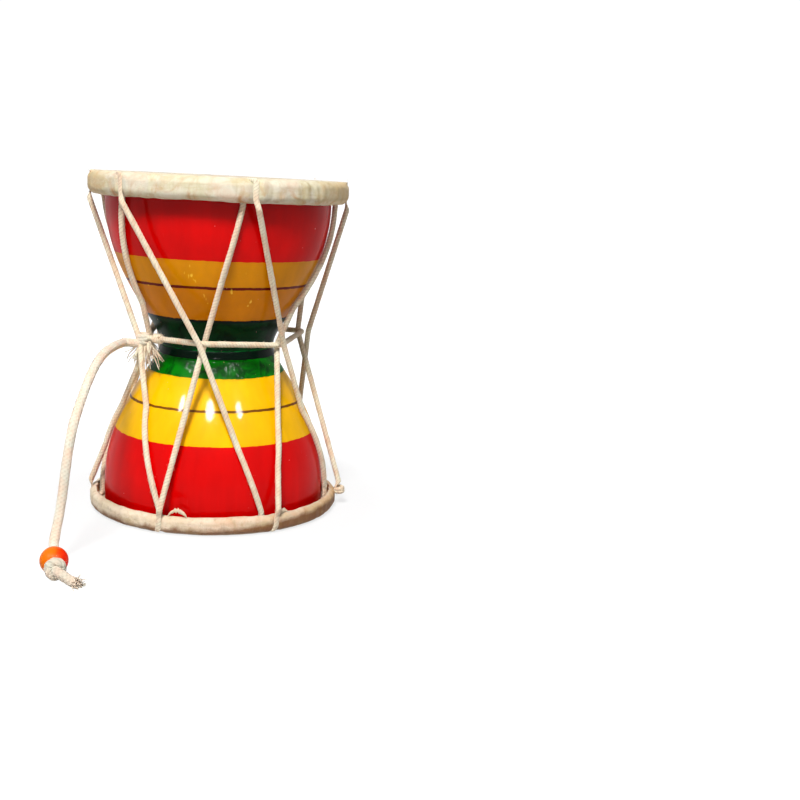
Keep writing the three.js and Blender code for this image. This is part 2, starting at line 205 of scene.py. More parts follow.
def hoop_turn(end, index, outside, release):
    """The cord's turn over a roll, at a slant, from the throat inside it to its outer face."""
    depth = end.loop_depth + LOOP_BEND
    profile = [(THROAT_MIDDLE, end.height + 1)]
    profile += arc(THROAT_MIDDLE + LOOP_BEND, depth, LOOP_BEND, 180, 270, 8)
    profile += arc(outside - LOOP_BEND, depth, LOOP_BEND, 270, 360, 8)
    profile.append((outside, release))
    inside = end.throat_azimuth(index)
    turn = end.azimuth(index) - inside
    return [
        around(inside + turn * min(1, (r - THROAT_MIDDLE) / (end.outside - THROAT_MIDDLE)), r, end.z(d))
        for r, d in profile
    ]


def stretch(start, end):
    """A taut stretch, lifted where the shell's bell would be in its way."""
    lifted = []
    steps = 27
    for i in range(1, steps):
        point = start + (end - start) * (i / steps)
        slope = shell_radius(point[2] + 0.5) - shell_radius(point[2] - 0.5)
        least = shell_radius(point[2]) + (CORD_RADIUS + 0.25) * math.hypot(1, slope)
        radius = math.hypot(point[0], point[1])
        if radius < least:
            point[:2] *= least / radius
            lifted.append(point)
    return lifted


def lacing_course(start_index):
    def release(end):
        return end.height - CORD_RADIUS - CLEARANCE

    knot_outside = BOTTOM.radius + CLEARANCE + LACING_KNOT_RADIUS
    into_knot = BOTTOM.loop_depth + LOOP_BEND + 1
    knot_top = into_knot + CLEARANCE + LACING_KNOT_LENGTH
    azimuth = BOTTOM.azimuth(start_index)
    course = [around(azimuth, knot_outside, knot_top - 2), around(azimuth, knot_outside, knot_top + 1.2)]
    for i in range(start_index, start_index + 6, 2):
        up = at_crossing(i, INNER_LEAD, -CROSSING_SPACING)
        over = hoop_turn(TOP, i + 1, TOP.outside, release(TOP))
        course += stretch(course[-1], up) + [up] + stretch(up, over[0]) + over
        down = at_crossing(i + 1, OUTER_LEAD, CROSSING_SPACING)
        last = i + 2 >= start_index + 6
        outside = knot_outside if last else BOTTOM.outside
        under = hoop_turn(BOTTOM, i + 2, outside, into_knot + 2 if last else release(BOTTOM))
        course += stretch(over[-1], down) + [down] + stretch(down, under[0]) + under
    knot_place = around(azimuth, knot_outside, into_knot + CLEARANCE)
    return course, knot_place


FIRST_CORNER = at_crossing(0, 0, 0)
SECOND_CORNER = at_crossing(1, 0, 0)
FIRST_EDGE = unit(SECOND_CORNER - FIRST_CORNER)


def waist_course():
    cut = 2.0
    course = [FIRST_CORNER + FIRST_EDGE * (WAIST_KNOT_OFFSET + WAIST_KNOT_LENGTH - 1)]
    for i in range(1, 7):
        corner = at_crossing(i, 0, 0)
        before = at_crossing(i - 1, 0, 0)
        after = at_crossing(i + 1, 0, 0)
        course.append(corner + unit(before - corner) * cut)
        course.append(corner + unit(after - corner) * cut)
    course.append(FIRST_CORNER + FIRST_EDGE * (WAIST_KNOT_OFFSET + 1))
    return course


def catmull(points, per_span):
    """The smooth centripetal curve through the points, as the CAD part has it."""
    p = [np.array(q, float) for q in points]
    p = [2 * p[0] - p[1]] + p + [2 * p[-1] - p[-2]]
    out = []
    for i in range(1, len(p) - 2):
        x0, x1, x2, x3 = p[i - 1 : i + 3]
        d0, d1, d2 = (math.sqrt(np.linalg.norm(b - a)) for a, b in ((x0, x1), (x1, x2), (x2, x3)))
        t1 = ((x1 - x0) / d0 - (x2 - x0) / (d0 + d1) + (x2 - x1) / d1) * d1
        t2 = ((x2 - x1) / d1 - (x3 - x1) / (d1 + d2) + (x3 - x2) / d2) * d1
        square = -3 * x1 + 3 * x2 - 2 * t1 - t2
        cube = 2 * x1 - 2 * x2 + t1 + t2
        for t in np.arange(per_span) / per_span:
            out.append(x1 + t1 * t + square * t**2 + cube * t**3)
    out.append(p[-2])
    return out


# Mesh making

# How far a strand travels in one turn, in the cord's radii, and the strands that wind one way
TWIST_PITCH = 3.5
TWIST_STRANDS = 3
BRAID_PITCH = 4.6
BRAID_STRANDS = 5

FIBRE_REACH = 1.3
FIBRE_RADIUS = 0.045


def cumulative(points):
    return np.concatenate([[0], np.cumsum(np.linalg.norm(np.diff(points, axis=0), axis=1))])


def resampled(points, step):
    points = np.array(points, float)
    along = cumulative(points)
    keep = np.concatenate([[True], np.diff(along) > 1e-6])
    points, along = points[keep], along[keep]
    count = max(2, int(round(along[-1] / step)))
    at = np.linspace(0, along[-1], count + 1)
    return np.stack([np.interp(at, along, points[:, k]) for k in range(3)], 1)


def softened(points, passes):
    """Rounds the corners of an evenly spaced course, with its ends kept."""
    points = points.copy()
    for _ in range(passes):
        points[1:-1] = 0.5 * points[1:-1] + 0.25 * (points[:-2] + points[2:])
    return points


def frames_along(points):
    tangents = np.gradient(points, axis=0)
    tangents /= np.linalg.norm(tangents, axis=1)[:, None]
    side = np.cross([0, 0, 1.0], tangents[0])
    if np.linalg.norm(side) < 0.1:
        side = np.cross([1.0, 0, 0], tangents[0])
    side = unit(side)
    sides = []
    for tangent in tangents:
        side = unit(side - tangent * side.dot(tangent))
        sides.append(side)
    sides = np.array(sides)
    return tangents, sides, np.cross(tangents, sides)


def make_object(name, vertices, faces):
    """A smooth-shaded mesh object, from places in millimetres."""
    mesh = bpy.data.meshes.new(name)
    mesh.from_pydata([tuple(v * MM) for v in vertices], [], faces)
    mesh.update()
    mesh.polygons.foreach_set("use_smooth", [True] * len(mesh.polygons))
    obj = bpy.data.objects.new(name, mesh)
    scene.collection.objects.link(obj)
    return obj


def add_point_values(obj, name, values):
    attribute = obj.data.attributes.new(name, "FLOAT", "POINT")
    attribute.data.foreach_set("value", np.array(values, np.float32))


def ring_faces(rings, sides, offset=0):
    """Faces between rings of points, and caps to the two middle points that follow them."""
    faces = []
    for i in range(rings - 1):
        for s in range(sides):
            a = offset + i * sides + s
            b = offset + i * sides + (s + 1) % sides
            faces.append((a, b, b + sides, a + sides))
    middle = offset + rings * sides
    last = middle - sides
    for s in range(sides):
        n = (s + 1) % sides
        faces.append((middle, offset + n, offset + s))
        faces.append((middle + 1, last + s, last + n))
    return faces


def rope_surface(course, radius, seed, style="twist", step=0.4, soften=4, sides=20):
    """Rings of a twisted or braided cord, with how deep each point lies between the strands."""
    points = softened(resampled(course, step), soften)
    along = cumulative(points)[:, None]
    _, side, other = frames_along(points)
    theta = np.linspace(0, 2 * math.pi, sides, endpoint=False)[None, :]
    rng = np.random.default_rng(seed)
    marks = np.arange(0, along[-1, 0] + 8, 3)
    wobble = np.interp(along[:, 0], marks, rng.normal(0, 1, len(marks)))[:, None]
    if style == "twist":
        turn = 2 * math.pi * (along + 0.35 * wobble) / (radius * TWIST_PITCH)
        phase = TWIST_STRANDS * (theta - turn)
        crown = np.abs(np.cos(phase / 2)) ** 0.8
        shape = 0.91 + 0.1 * crown
    else:
        turn = 2 * math.pi * (along + 0.3 * wobble) / (radius * BRAID_PITCH)
        left = np.cos(BRAID_STRANDS * (theta - turn))
        right = np.cos(BRAID_STRANDS * (theta + turn))
        crown = np.clip(0.55 + 0.16 * (left + right), 0, 1)
        shape = 0.965 + 0.05 * crown
    r = radius * shape * (1 + 0.025 * wobble)
    rings = (
        points[:, None, :]
        + (r * np.cos(theta))[:, :, None] * side[:, None, :]
        + (r * np.sin(theta))[:, :, None] * other[:, None, :]
    )
    return points, rings, crown


def loose_fibres(points, radius, per_mm, seed):
    """Short fibres that stand off a cord's surface, each a thin closed sliver."""
    rng = np.random.default_rng(seed)
    tangents, side, other = frames_along(points)
    count = max(4, int(cumulative(points)[-1] * per_mm))
    at = rng.integers(1, len(points) - 1, count)
    angle = rng.uniform(0, 2 * math.pi, count)[:, None]
    away = np.cos(angle) * side[at] + np.sin(angle) * other[at]
    round_it = np.cross(tangents[at], away)
    lean = tangents[at] * rng.normal(0, 1.0, (count, 1)) + round_it * rng.normal(0, 0.7, (count, 1))
    size = FIBRE_REACH * rng.uniform(0.4, 1.0, (count, 1))
    start = points[at] + away * radius * 0.8
    middle = start + (away * 0.45 + lean * 0.35) * size
    tip = start + (away * 0.7 + lean * 0.85) * size
    vertices = []
    for place, thick in ((start, 1.0), (middle, 0.9), (tip, 0.4)):
        for k in range(3):
            turn = 2 * math.pi * k / 3
            around_it = round_it * math.cos(turn) + away * math.sin(turn)
            vertices.append(place + around_it * FIBRE_RADIUS * thick)
    vertices = np.stack(vertices, 1).reshape(-1, 3)
    faces = []
    for n in range(count):
        o = 9 * n
        faces.append((o + 2, o + 1, o))
        faces.append((o + 6, o + 7, o + 8))
        for row in (o, o + 3):
            for k in range(3):
                m = (k + 1) % 3
                faces.append((row + k, row + m, row + m + 3, row + k + 3))
    return vertices, faces


def rope_piece(name, points, rings, crown, fuzz, seed, first=0, last=None):
    """A closed mesh of the rings from first to last of a cord's surface, with its loose fibres."""
    last = len(points) if last is None else last
    part = rings[first:last]
    count, sides = part.shape[:2]
    vertices = np.concatenate([part.reshape(-1, 3), points[first][None], points[last - 1][None]])
    faces = ring_faces(count, sides)
    values = np.concatenate([crown[first:last].reshape(-1), [0.5, 0.5]])
    radius = np.linalg.norm(part - points[first:last, None, :], axis=2).mean()
    hairs, hair_faces = loose_fibres(points[first:last], radius, fuzz, seed + first)
    faces += [tuple(v + len(vertices) for v in face) for face in hair_faces]
    vertices = np.concatenate([vertices, hairs])
    values = np.concatenate([values, np.full(len(hairs), 0.9)])
    obj = make_object(name, vertices, faces)
    add_point_values(obj, "crown", values)
    rims = [set(range(sides)), set(range((count - 1) * sides, count * sides))]
    for edge in obj.data.edges:
        if any(rim.issuperset(edge.vertices) for rim in rims):
            edge.use_edge_sharp = True
    return obj


def rope(name, course, radius, fuzz, seed, **form):
    """A whole cord along a course."""
    points, rings, crown = rope_surface(course, radius, seed=seed, **form)
    return rope_piece(name, points, rings, crown, fuzz, seed)


def lathe(name, profile, segments, offset=None):
    """A closed turned mesh. offset(points, azimuths) may move its points, in millimetres."""
    profile = np.array(profile, float)
    angles = np.linspace(0, 360, segments, endpoint=False)
    on_axis = profile[:, 0] < 1e-6
    vertices, index = [], []
    for (r, z), axis in zip(profile, on_axis):
        if axis:
            index.append([len(vertices)] * segments)
            vertices.append((0.0, 0.0, z))
        else:
            index.append(list(range(len(vertices), len(vertices) + segments)))
            vertices += [tuple(around(a, r, z)) for a in angles]
    vertices = np.array(vertices)
    faces = []
    closed = not on_axis.any()
    rows = len(profile)
    for i in range(rows if closed else rows - 1):
        a_row, b_row = index[i], index[(i + 1) % rows]
        for s in range(segments):
            n = (s + 1) % segments
            quad = [a_row[s], a_row[n], b_row[n], b_row[s]]
            face = [v for k, v in enumerate(quad) if v != quad[k - 1]]
            if len(face) >= 3:
                faces.append(face)
    if offset is not None:
        vertices = offset(vertices)
    return make_object(name, vertices, faces)


def azimuth_of(vertices):
    return np.arctan2(vertices[:, 0], -vertices[:, 1])


def waves(azimuth, seed, lowest=2, highest=23, slope=0.8):
    """A smooth irregular wave round the drum, about -1 to 1."""
    rng = np.random.default_rng(seed)
    total = np.zeros_like(azimuth)
    power = 0
    for k in range(lowest, highest):
        size = k**-slope
        total += size * np.sin(k * azimuth + rng.uniform(0, 2 * math.pi))
        power += size**2 / 2
    return total / (2 * math.sqrt(power))


def strand_bundle(
    name, root, direction, length, spread, count, thickness, seed, root_radius, droop=0.3, floor=None
):
    """Loose cotton ends: many fine threads that fan out from a root."""
    rng = np.random.default_rng(seed)
    direction = unit(direction)
    side = unit(np.cross(direction, [0.3, 0.2, 1.0]))
    other = np.cross(direction, side)
    vertices, faces, crown = [], [], []
    sides, rings = 5, 9
    for _ in range(count):
        angle = rng.uniform(0, 2 * math.pi)
        out = math.sqrt(rng.uniform(0, 1))
        away = (side * math.cos(angle) + other * math.sin(angle)) * out
        start = root + away * root_radius
        aim = unit(direction + away * spread + rng.normal(0, 0.12, 3))
        reach = length * rng.uniform(0.55, 1.0)
        curl = rng.normal(0, 0.22, 3)
        t = np.linspace(0, 1, rings)[:, None]
        course = start + aim * reach * t + curl * reach * t**2 + np.array([0, 0, -droop]) * reach * t**2
        ripple = 0.25 * np.sin(t * rng.uniform(5, 12) + rng.uniform(0, 6))
        course = course + ripple * rng.normal(0, 1, 3) * t
        if floor is not None:
            course[:, 2] = np.maximum(course[:, 2], floor + thickness * 1.5 + rng.uniform(0, 0.8))
        _, s, o = frames_along(course)
        theta = np.linspace(0, 2 * math.pi, sides, endpoint=False)[None, :]
        r = thickness * rng.uniform(0.7, 1.2) * (1 - 0.5 * t)
        ring = course[:, None, :] + (r * np.cos(theta))[:, :, None] * s[:, None, :]
        ring = ring + (r * np.sin(theta))[:, :, None] * o[:, None, :]
        offset = len(vertices)
        vertices += list(ring.reshape(-1, 3)) + [course[0], course[-1]]
        faces += ring_faces(rings, sides, offset)
        # crown rises along each thread, so the cotton's painted groove shade darkens the roots
        crown += list(np.repeat(0.55 + 0.4 * t[:, 0], sides)) + [0.5, 1.0]
    obj = make_object(name, np.array(vertices), faces)
    add_point_values(obj, "crown", crown)
    return obj


def wrapped_knot(name, place, direction, radius, length, turns, cord_radius, seed, fuzz, lean=0.0):
    """A knot of cord wound round and back over itself."""
    direction = unit(direction)
    side = unit(np.cross(direction, [0.31, 0.27, 0.9]))
    other = np.cross(direction, side)
    t = np.linspace(0, 1, 60 * max(1, turns))
    angle = 2 * math.pi * turns * t
    ring = radius - cord_radius
    reach = cord_radius + (length - 2 * cord_radius) * (0.5 - 0.5 * np.cos(math.pi * t))
    course = (
        place[None]
        + direction[None] * reach[:, None]
        + (ring * np.cos(angle))[:, None] * side[None]
        + (ring * np.sin(angle))[:, None] * (other + lean * direction)[None]
    )
    return rope(name, course, cord_radius, fuzz, seed, soften=1, sides=14)


def joined(name, objects):
    """One object of several, with their meshes joined."""
    with bpy.context.temp_override(
        active_object=objects[0], selected_editable_objects=objects, selected_objects=objects
    ):
        bpy.ops.object.join()
    objects[0].name = name
    objects[0].data.name = name
    return objects[0]


# Camera, fitted to the outlines of the hoops and bands

PHOTO_WIDTH = 800
FOCAL_PIXELS = 1135.1
SENSOR_WIDTH = 36
CAMERA_PLACE = (0, -591.22, 173.51)
CAMERA_FORWARD = (0.15989, 0.96821, -0.19236)
CAMERA_UP = (-0.01874, 0.19781, 0.98006)


def place_camera():
    data = bpy.data.cameras.new("camera")
    data.sensor_width = SENSOR_WIDTH
    data.lens = SENSOR_WIDTH * FOCAL_PIXELS / PHOTO_WIDTH
    data.clip_start = 0.01
    data.clip_end = 20
    camera = bpy.data.objects.new("camera", data)
    forward = Vector(CAMERA_FORWARD).normalized()
    right = forward.cross(Vector(CAMERA_UP)).normalized()
    turn = Matrix((right, right.cross(forward), -forward)).transposed()
    camera.matrix_world = Matrix.Translation(Vector(CAMERA_PLACE) * MM) @ turn.to_4x4()
    scene.collection.objects.link(camera)
    scene.camera = camera


place_camera()


# Materials


def srgb(*channels):
    shares = [c / 255 for c in channels]
    return tuple(c / 12.92 if c <= 0.04045 else ((c + 0.055) / 1.055) ** 2.4 for c in shares) + (1,)


class Nodes:
    """Short forms for building a node tree."""

    def __init__(self, owner, coordinates):
        owner.use_nodes = True
        self.tree = owner.node_tree
        self.coordinates = self.add("ShaderNodeTexCoord").outputs[coordinates]

    def add(self, kind, **settings):
        node = self.tree.nodes.new(kind)
        for key, value in settings.items():
            setattr(node, key, value)
        return node

    def link(self, source, target):
        self.tree.links.new(source, target)

    def feed(self, socket, value):
        """Links a socket to another's output, or gives it a value of its own."""
        if isinstance(value, bpy.types.NodeSocket):
            self.link(value, socket)
        else:
            socket.default_value = value

    def put(self, node, **inputs):
        for key, value in inputs.items():
            self.feed(node.inputs[key.replace("_", " ")], value)
        return node

    def noise(self, scale, detail=3, roughness=0.55, distortion=0.0, stretch=None):
        vector = self.coordinates
        if stretch is not None:
            mapping = self.put(self.add("ShaderNodeMapping"), Vector=vector, Scale=stretch)
            vector = mapping.outputs["Vector"]
        node = self.put(self.add("ShaderNodeTexNoise"), Vector=vector, Scale=scale, Detail=detail)
        self.put(node, Roughness=roughness, Distortion=distortion)
        return node.outputs["Fac"]

    def ramp(self, value, stops, interpolation="LINEAR"):
        node = self.add("ShaderNodeValToRGB")
        node.color_ramp.interpolation = interpolation
        elements = node.color_ramp.elements
        elements[0].position, elements[0].color = stops[0]
        elements[1].position, elements[1].color = stops[-1]
        for position, color in stops[1:-1]:
            elements.new(position).color = color
        self.link(value, node.inputs["Fac"])
        return node.outputs["Color"]

    def mix(self, factor, a, b, blend="MIX"):
        node = self.add("ShaderNodeMix", data_type="RGBA", blend_type=blend)
        for socket, value in ((node.inputs[0], factor), (node.inputs[6], a), (node.inputs[7], b)):
            self.feed(socket, value)
        return node.outputs[2]

    def math(self, operation, a, b=0.0, c=0.0, clamp=False):
        node = self.add("ShaderNodeMath", operation=operation, use_clamp=clamp)
        for socket, value in zip(node.inputs, (a, b, c)):
            self.feed(socket, value)
        return node.outputs[0]

    def times(self, product, *factors):
        for factor in factors:
            product = self.math("MULTIPLY", product, factor)
        return product

    def range(self, value, low, high, new_low=0.0, new_high=1.0, smooth=False):
        node = self.add("ShaderNodeMapRange", interpolation_type="SMOOTHSTEP" if smooth else "LINEAR")
        self.put(node, Value=value, From_Min=low, From_Max=high, To_Min=new_low, To_Max=new_high)
        return node.outputs["Result"]

    def rise(self, value, start, stop, least=0.0, most=1.0, smooth=False):
        """A range from least to most between two places, which are in millimetres."""
        return self.range(value, start * MM, stop * MM, least, most, smooth)

    def zone(self, value, low, high, edge):
        """1 between two places in millimetres, with an edge of this width inside each."""
        return self.times(self.rise(value, low, low + edge), self.rise(value, high, high - edge))

    def bump(self, height, distance, strength=1.0, normal=None):
        node = self.put(self.add("ShaderNodeBump"), Strength=strength, Distance=distance, Height=height)
        if normal is not None:
            self.link(normal, node.inputs["Normal"])
        return node.outputs["Normal"]

    def attribute(self, name):
        node = self.add("ShaderNodeAttribute", attribute_name=name, attribute_type="GEOMETRY")
        return node.outputs["Fac"]

    def split(self):
        node = self.add("ShaderNodeSeparateXYZ")
        self.link(self.coordinates, node.inputs[0])
        return node.outputs

    def from_axis(self, x, y):
        """The distance from the drum's axis."""
        return self.math("SQRT", self.math("ADD", self.times(x, x), self.times(y, y)))

    def background_rays(self):
        """1 for the rays that show the white background: the camera's, and those of gloss and glass."""
        rays = self.add("ShaderNodeLightPath").outputs
        mirrored = self.math("MAXIMUM", rays["Is Glossy Ray"], rays["Is Transmission Ray"])
        return self.math("MAXIMUM", rays["Is Camera Ray"], mirrored)


class Look(Nodes):
    """The nodes of a new material."""

    def __init__(self, name):
        self.material = bpy.data.materials.new(name)
        super().__init__(self.material, "Object")
        self.shader = self.tree.nodes["Principled BSDF"]

    def surface(self, **inputs):
        self.put(self.shader, **inputs)


WHITE = (1, 1, 1, 1)
NEAR_BLACK_GREEN = srgb(2, 18, 8)

# Painted bands from the foot up: the height where each starts, in millimetres, and its colour
BANDS = (
    (0, srgb(206, 0, 0)),
    (40.6, srgb(238, 178, 0)),
    (71.0, srgb(0, 110, 4)),
    (79.6, srgb(2, 20, 10)),
    # painted highlight: the light green line along the waist groove
    (84.1, srgb(10, 104, 40)),
    (84.8, srgb(0, 48, 18)),
    (99.4, NEAR_BLACK_GREEN),
    (100.2, srgb(206, 122, 0)),
    (116.5, srgb(96, 14, 0)),
    (117.8, srgb(214, 136, 0)),
    (130.0, srgb(206, 0, 0)),
)
BAND_UNEVENNESS = 0.7

# Zones of the lacquer: lowest and highest place, and the width of their edges
BROWN_LINE = (56.4, 57.6, 0.1)
DARK_WAIST = (70.5, 100.5, 2)
ORANGE_BANDS = (100, 130.5, 1)

# The rise to the upper roll, over which the red is darkened a little as painted shade under the roll
UNDER_ROLL_SHADE = (144, 157)


def lacquer_material():
    n = Look("banded_lacquer")
    z = n.split()["Z"]
    uneven_edge = n.math("SUBTRACT", n.noise(260, detail=2), 0.5)
    height = n.math("MULTIPLY_ADD", uneven_edge, BAND_UNEVENNESS * MM, z)
    share = n.math("DIVIDE", height, HEIGHT * MM)
    color = n.ramp(share, [(h / HEIGHT, c) for h, c in BANDS], "CONSTANT")
    color = n.mix(n.zone(height, *BROWN_LINE), color, srgb(108, 62, 6))
    # painted shade under the upper roll: the red darkens by up to a quarter towards a dark red
    color = n.mix(n.rise(height, *UNDER_ROLL_SHADE, 0, 0.25, smooth=True), color, srgb(70, 0, 0))
    streaks = n.range(n.noise(150, detail=4, stretch=(1, 1, 0.06)), 0.3, 0.7, 0.9, 1.05)
    patches = n.range(n.noise(30, detail=3), 0.3, 0.7, 0.9, 1.06)
    color = n.mix(1.0, color, n.times(streaks, patches), "MULTIPLY")
    waist = n.zone(z, *DARK_WAIST)
    mottle = n.range(n.noise(85, detail=4, roughness=0.65, distortion=0.6), 0.42, 0.62, smooth=True)
    color = n.mix(n.times(waist, mottle, 0.8), color, NEAR_BLACK_GREEN)
    dashes = n.range(n.noise(260, detail=2, stretch=(1, 1, 0.3)), 0.7, 0.76)
    color = n.mix(n.times(n.zone(z, *ORANGE_BANDS), dashes, 0.75), color, srgb(246, 206, 60))
    specks = n.range(n.noise(620, detail=1), 0.79, 0.81)
    color = n.mix(n.times(specks, 0.55), color, srgb(235, 150, 150))
    rings = n.noise(900, detail=2, stretch=(0.02, 0.02, 1))
    swells = n.noise(45, detail=2, stretch=(1, 1, 0.6))
    uneven = n.times(n.noise(170, detail=3, distortion=0.8, stretch=(1, 1, 0.7)), waist)
    n.surface(
        Base_Color=color,
        Roughness=n.range(n.noise(90, detail=3), 0.3, 0.7, 0.3, 0.42),
        Specular_IOR_Level=0.02,
        Normal=n.bump(rings, 0.00003, 0.4, n.bump(swells, 0.0004, 0.25)),
        Coat_Weight=n.math("MULTIPLY_ADD", waist, -0.07, 0.13),
        Coat_IOR=1.5,
        Coat_Roughness=0.08,
        Coat_Normal=n.bump(uneven, 0.0012, 0.7),
    )
    scratches = n.range(n.noise(420, detail=2, stretch=(1, 1, 0.1)), 0.66, 0.74, 0.06, 0.3)
    n.surface(Coat_Roughness=scratches)
    return n.material


def skin_material():
    n = Look("raw_skin")
    x, y, z = n.split()
    cloudy = n.noise(55, detail=5, roughness=0.6, distortion=0.4)
    color = n.ramp(
        cloudy,
        [
            (0.25, srgb(178, 158, 112)),
            (0.42, srgb(200, 192, 162)),
            (0.55, srgb(206, 198, 178)),
            (0.68, srgb(210, 186, 162)),
            (0.85, srgb(194, 194, 174)),
        ],
    )
    lap = n.rise(n.from_axis(x, y), 59.5, 63.5)
    from_middle = n.math("ABSOLUTE", n.math("SUBTRACT", z, MIDDLE * MM))
    depth = n.math("SUBTRACT", MIDDLE * MM, from_middle)
    hem = n.times(n.rise(depth, 4, 11.5), lap)
    stains = n.range(n.noise(90, detail=6, roughness=0.65, distortion=1.2), 0.46, 0.68)
    stained = n.math("MULTIPLY", stains, n.math("MULTIPLY_ADD", hem, 0.55, 0.4), clamp=True)
    color = n.mix(stained, color, srgb(178, 120, 62))

    # The rolls' ends darken to tan: a tan of the skin at the right ends, and painted shade at the upper
    # roll's left end, where it turns away
    right_ends = n.rise(x, 42, 60)
    shaded_upper_left_end = n.times(n.rise(x, -50, -62), n.rise(z, 50, 100))
    ends = n.math("MAXIMUM", right_ends, shaded_upper_left_end)
    tan_and_left_end_shade = n.times(ends, n.range(cloudy, 0.35, 0.6, 0.35, 0.75), lap)
    color = n.mix(tan_and_left_end_shade, color, srgb(196, 160, 96))
    # painted shade: the flat heads are greyed a little, against the strong light they get from above
    color = n.mix(n.range(lap, 0, 1, 0.3, 0), color, srgb(186, 174, 156))

    lower_lap = n.times(n.rise(z, 50, 40), lap)
    color = n.mix(n.times(lower_lap, 0.4), color, srgb(222, 182, 146))
    color = n.mix(n.times(lower_lap, n.rise(x, 20, -40, 0, 0.45)), color, srgb(232, 222, 200))
    # brown of the skin and painted shade: the lower roll browns towards its right, away from the key
    # light
    color = n.mix(n.times(lower_lap, n.rise(x, 15, 50, 0, 0.35)), color, srgb(166, 116, 52))
    specks = n.range(n.noise(480, detail=5, roughness=0.7), 0.54, 0.66)
    color = n.mix(n.times(specks, lower_lap, 0.32), color, srgb(140, 98, 52))
    # Dark brown along the lower roll's foot, thicker on the right: brown of the skin and painted shade
    # where the roll meets the table
    ragged = n.math("MULTIPLY_ADD", n.math("SUBTRACT", n.noise(130, detail=4), 0.5), 6 * MM, z)
    ragged = n.math("SUBTRACT", ragged, n.rise(x, 5, 45, 0, 3.4 * MM))
    color = n.mix(n.times(n.rise(ragged, 4.2, 1.8), lap, 0.92), color, srgb(112, 64, 20))

    fibres = n.noise(600, detail=3, roughness=0.7)
    color = n.mix(n.range(fibres, 0.62, 0.8, 0, 0.3), color, srgb(188, 168, 120))
    creases = n.noise(260, detail=4, roughness=0.6, stretch=(1, 1, 0.22))
    here_and_there = n.range(n.noise(38, detail=2), 0.46, 0.6, 0.08, 0.5)
    creased = n.times(n.range(creases, 0.52, 0.7), here_and_there)
    color = n.mix(creased, color, srgb(156, 130, 86))
    folds = n.range(n.noise(70, detail=3, stretch=(1, 1, 5)), 0.52, 0.66, 0, 0.28)
    color = n.mix(n.times(folds, lap), color, srgb(168, 148, 96))
    wrinkles = n.noise(140, detail=6, roughness=0.62, distortion=0.8)
    folded = n.bump(creases, 0.0006, 0.6, n.bump(wrinkles, 0.0008, 0.55))
    n.surface(
        Base_Color=color,
        Roughness=n.range(cloudy, 0.3, 0.7, 0.55, 0.72),
        Specular_IOR_Level=0.3,
        Normal=n.bump(fibres, 0.00012, 0.5, folded),
        Subsurface_Weight=0.1,
        Subsurface_Radius=(0.004, 0.003, 0.002),
        Subsurface_Scale=0.4,
    )
    return n.material


def cotton_material(name, pale, mid, deep):
    n = Look(name)
    cloudy = n.noise(160, detail=4, roughness=0.6)
    color = n.mix(n.range(cloudy, 0.38, 0.62), pale, mid)
    # painted shade between the strands: the cotton darkens towards its deep colour in the grooves
    groove = n.range(n.attribute("crown"), 0.05, 0.7, 1, 0, smooth=True)
    color = n.mix(n.times(groove, 0.45), color, deep)
    fibres = n.noise(2600, detail=3, roughness=0.7)
    color = n.mix(n.range(fibres, 0.5, 0.85, 0, 0.25), color, deep)
    n.surface(
        Base_Color=color,
        Roughness=0.92,
        Sheen_Weight=0.3,
        Sheen_Roughness=0.6,
        Specular_IOR_Level=0.15,
        Normal=n.bump(fibres, 0.00025, 0.6),
    )
    return n.material


def bead_material(name, main, second, low, high):
    """Two colours that run into each other from one side of the bead to the other, low to high in x."""
    n = Look(name)
    swirl = n.math("SUBTRACT", n.noise(140, detail=3, distortion=1.2), 0.5)
    place = n.math("MULTIPLY_ADD", swirl, 9 * MM, n.split()["X"])
    n.surface(
        Base_Color=n.mix(n.rise(place, low, high, smooth=True), main, second),
        Roughness=n.range(n.noise(500, detail=2), 0.3, 0.7, 0.32, 0.46),
        Normal=n.bump(n.noise(160, detail=2), 0.0005, 0.35),
        Specular_IOR_Level=0.08,
        Coat_Weight=0.01,
        Coat_Roughness=0.22,
    )
    return n.material


def cane_material():
    n = Look("split_cane")
    grain = n.noise(300, detail=5, stretch=(1, 1, 6))
    colors = ((0.3, srgb(128, 88, 44)), (0.5, srgb(178, 136, 82)), (0.75, srgb(206, 170, 112)))
    n.surface(Base_Color=n.ramp(grain, colors), Roughness=0.6, Normal=n.bump(grain, 0.0003, 0.5))
    return n.material


LACQUER = lacquer_material()
SKIN_LOOK = skin_material()
CANE = cane_material()
COTTON = cotton_material("lacing_cotton", srgb(224, 216, 190), srgb(222, 194, 164), srgb(136, 102, 68))
ROPE = cotton_material("striker_cotton", srgb(218, 214, 196), srgb(228, 202, 178), srgb(166, 134, 102))
FRAYED = cotton_material("frayed_cotton", srgb(202, 198, 180), srgb(212, 190, 168), srgb(134, 118, 94))
ORANGE = bead_material("orange_bead", srgb(222, 106, 4), srgb(224, 38, 4), -68, -62)
RED = bead_material("red_bead", srgb(214, 34, 22), srgb(176, 14, 14), -42, -38)


def dress(obj, material, body, slot, *nodes):
    """Finishes a piece. A piece without a body is left unattached."""
    obj.data.materials.clear()
    obj.data.materials.append(material)
    if body is not None:
        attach(obj, body)
    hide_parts(*nodes)


for end_name in ("top_hoop", "bottom_hoop"):
    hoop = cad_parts[end_name]
    hoop.data.materials.clear()
    hoop.data.materials.append(CANE)


# Shell

GROOVE_DEPTH = 0.5
GROOVE_WIDTH = 0.38


